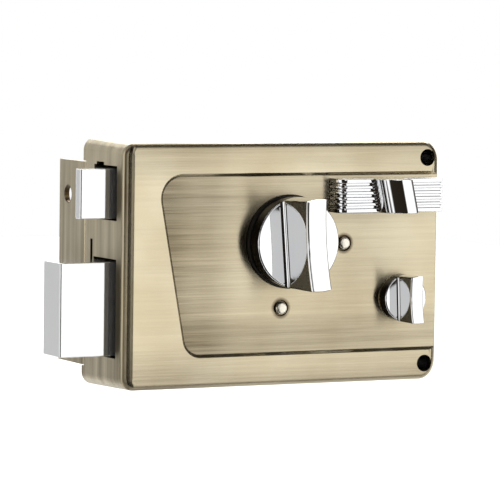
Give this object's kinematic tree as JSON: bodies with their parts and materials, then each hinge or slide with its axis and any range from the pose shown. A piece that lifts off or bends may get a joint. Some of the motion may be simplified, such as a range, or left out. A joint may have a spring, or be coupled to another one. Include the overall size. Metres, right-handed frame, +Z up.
{
  "type": "rim night latch",
  "caption": "Surface-mounted rim night latch with a sprung latch bolt worked by a ribbed pull slide, a deadbolt worked by a turn knob, and a small snib knob.",
  "frame": {"origin": "centre of the back face of the base plate, the face that lies on the door", "axes": "+X along the case from the door edge towards the hinges, +Y into the door, +Z up"},
  "size_m": [0.1566, 0.0821, 0.0936],
  "materials": {
    "antique_brass": "brushed antique brass",
    "bolt_chrome": "polished",
    "knob_chrome": "polished",
    "polished_brass": "polished",
    "plain_steel": "zinc plated",
    "spring_steel": "oiled",
    "black_steel": "blackened"
  },
  "bodies": {
    "case": {"base_plate": "antique_brass", "case_cover": "antique_brass", "upper_mounting_pillar": "black_steel", "lower_mounting_pillar": "black_steel", "case_screw_1": "plain_steel", "case_screw_2": "plain_steel", "case_screw_3": "plain_steel", "case_screw_4": "plain_steel", "bearing_plate": "plain_steel", "front_rivet_right": "polished_brass", "front_rivet_lower": "polished_brass", "latch_guide_post": "plain_steel", "deadbolt_guide_post": "plain_steel", "spring_stop": "plain_steel", "stop_rivet_upper": "plain_steel", "stop_rivet_lower": "plain_steel", "friction_spring": "spring_steel", "friction_spring_rivet": "plain_steel", "knob_rose": "black_steel"},
    "latch": {"latch_bolt": "bolt_chrome", "latch_tail": "plain_steel", "latch_rivet_1": "plain_steel", "latch_rivet_2": "plain_steel", "pull_bracket": "plain_steel", "bracket_rivet_1": "plain_steel", "bracket_rivet_2": "plain_steel", "pull_handle": "knob_chrome", "handle_grub_screw": "black_steel", "spring_rod": "plain_steel", "latch_spring": "spring_steel"},
    "deadbolt": {"deadbolt_head": "bolt_chrome", "deadbolt_tail": "plain_steel", "deadbolt_rivet_1": "plain_steel", "deadbolt_rivet_2": "plain_steel"},
    "knob": {"main_knob": "knob_chrome", "knob_spindle": "plain_steel", "knob_grub_screw": "black_steel", "deadbolt_pinion": "plain_steel", "pinion_pin": "plain_steel", "knob_washer": "plain_steel", "knob_circlip": "spring_steel"},
    "snib": {"snib_knob": "knob_chrome", "snib_spindle": "plain_steel", "snib_grub_screw": "black_steel", "snib_cam": "plain_steel", "snib_circlip": "spring_steel"}
  },
  "joints": [
    {"name": "latch_slide", "type": "slide", "parent": "case", "child": "latch", "axis": [1, 0, 0], "range_m": [0, 0.0125], "stiffness_N_per_m": 200, "springref_m": -0.02, "deforming": ["latch_spring"]},
    {"name": "knob_turn", "type": "hinge", "parent": "case", "child": "knob", "pos_m": [0.0015, 0, 0.0084], "axis": [0, -1, 0], "range_deg": [0, 180]},
    {"name": "deadbolt_slide", "type": "slide", "parent": "case", "child": "deadbolt", "axis": [1, 0, 0], "range_m": [0, 0.02042]},
    {"name": "snib_turn", "type": "hinge", "parent": "case", "child": "snib", "pos_m": [0.05, 0, -0.014], "axis": [0, 1, 0], "range_deg": [0, 90]}
  ],
  "couplings": [
    {"joint": "deadbolt_slide", "follows": "knob_turn", "m_per_rad": 0.0065}
  ]
}
